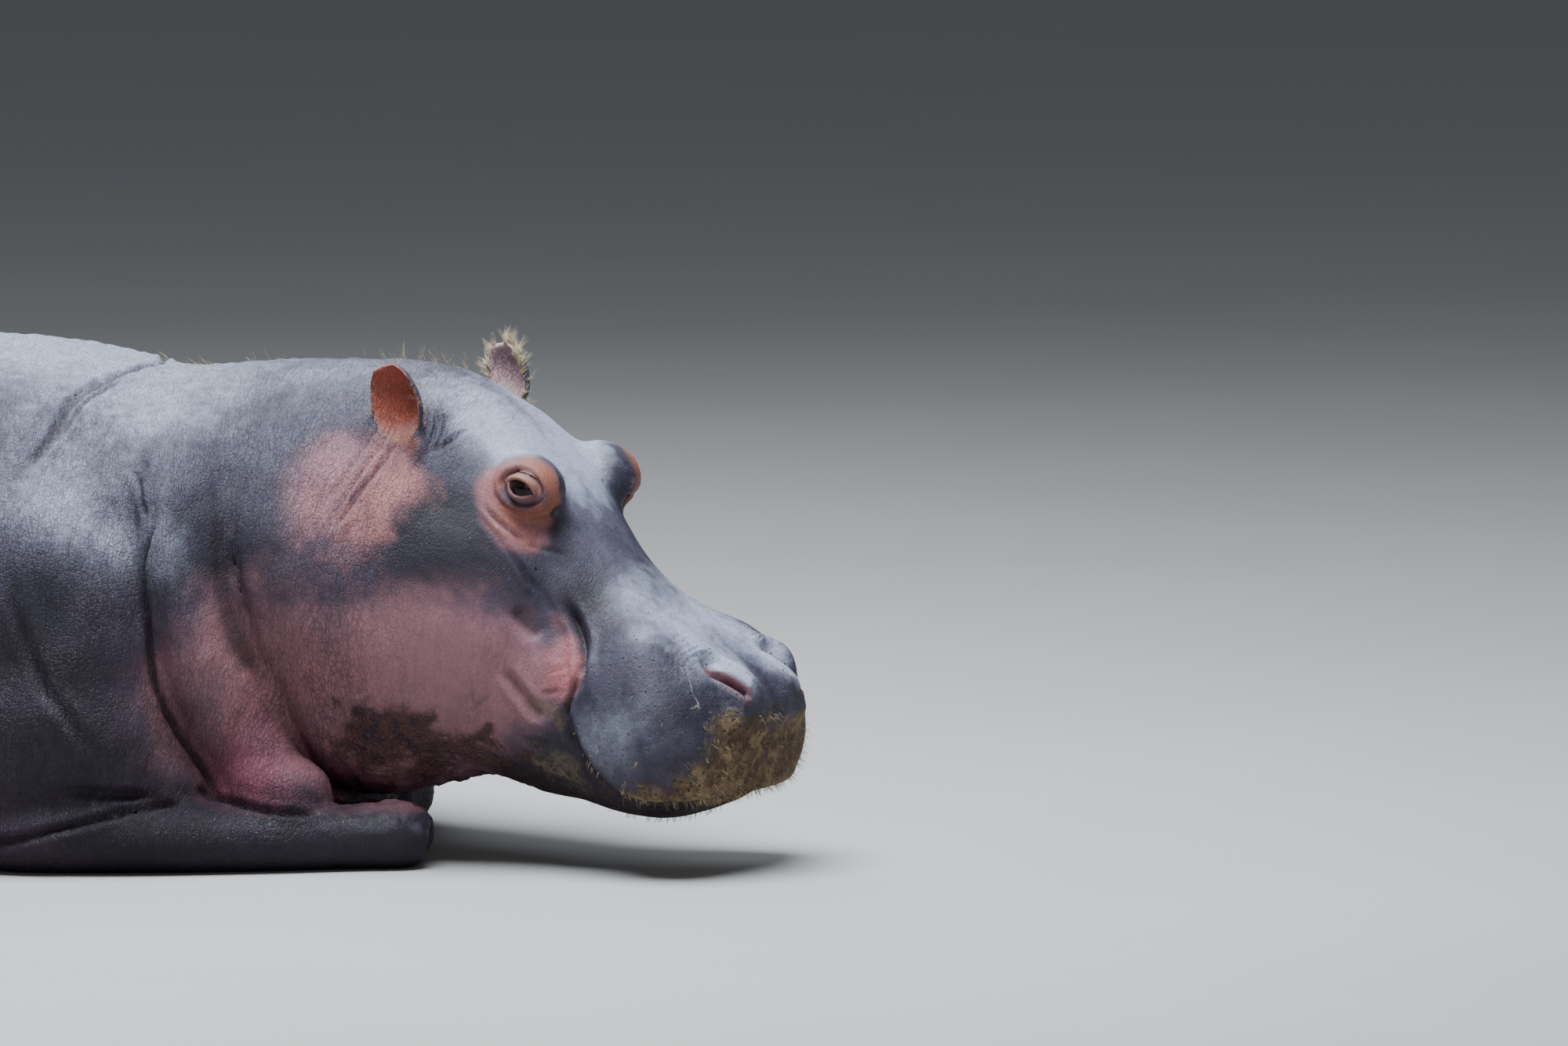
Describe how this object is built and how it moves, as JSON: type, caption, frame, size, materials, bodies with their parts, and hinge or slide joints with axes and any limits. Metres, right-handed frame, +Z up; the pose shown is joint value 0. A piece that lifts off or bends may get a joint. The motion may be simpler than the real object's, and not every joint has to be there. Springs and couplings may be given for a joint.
{
  "type": "hippopotamus",
  "caption": "Life-size hippopotamus resting on its belly, forelegs stretched forward, head low and turned to its right; a still natural history model.",
  "frame": {"origin": "on the floor under the middle of the belly", "axes": "+X the way the trunk faces, +Y the animal's left, +Z up"},
  "size_m": [2.8293, 1.3296, 0.7763],
  "materials": {
    "skin": "satin",
    "pink_skin": "satin",
    "ear": "satin",
    "eye": "gloss",
    "nail": "matte"
  },
  "bodies": {
    "root": {"trunk": "skin", "neck": "skin", "head": "skin", "lower_jaw": "pink_skin", "eye_right": "eye", "eye_left": "eye", "ear_right": "ear", "ear_left": "ear", "foreleg_right": "skin", "hindleg_right": "skin", "foreleg_left": "skin", "hindleg_left": "skin", "tail": "skin", "foreleg_right_nail_1": "nail", "foreleg_right_nail_2": "nail", "foreleg_right_nail_3": "nail", "foreleg_right_nail_4": "nail", "hindleg_right_nail_1": "nail", "hindleg_right_nail_2": "nail", "hindleg_right_nail_3": "nail", "hindleg_right_nail_4": "nail", "foreleg_left_nail_1": "nail", "foreleg_left_nail_2": "nail", "foreleg_left_nail_3": "nail", "foreleg_left_nail_4": "nail", "hindleg_left_nail_1": "nail", "hindleg_left_nail_2": "nail", "hindleg_left_nail_3": "nail", "hindleg_left_nail_4": "nail"}
  },
  "joints": []
}
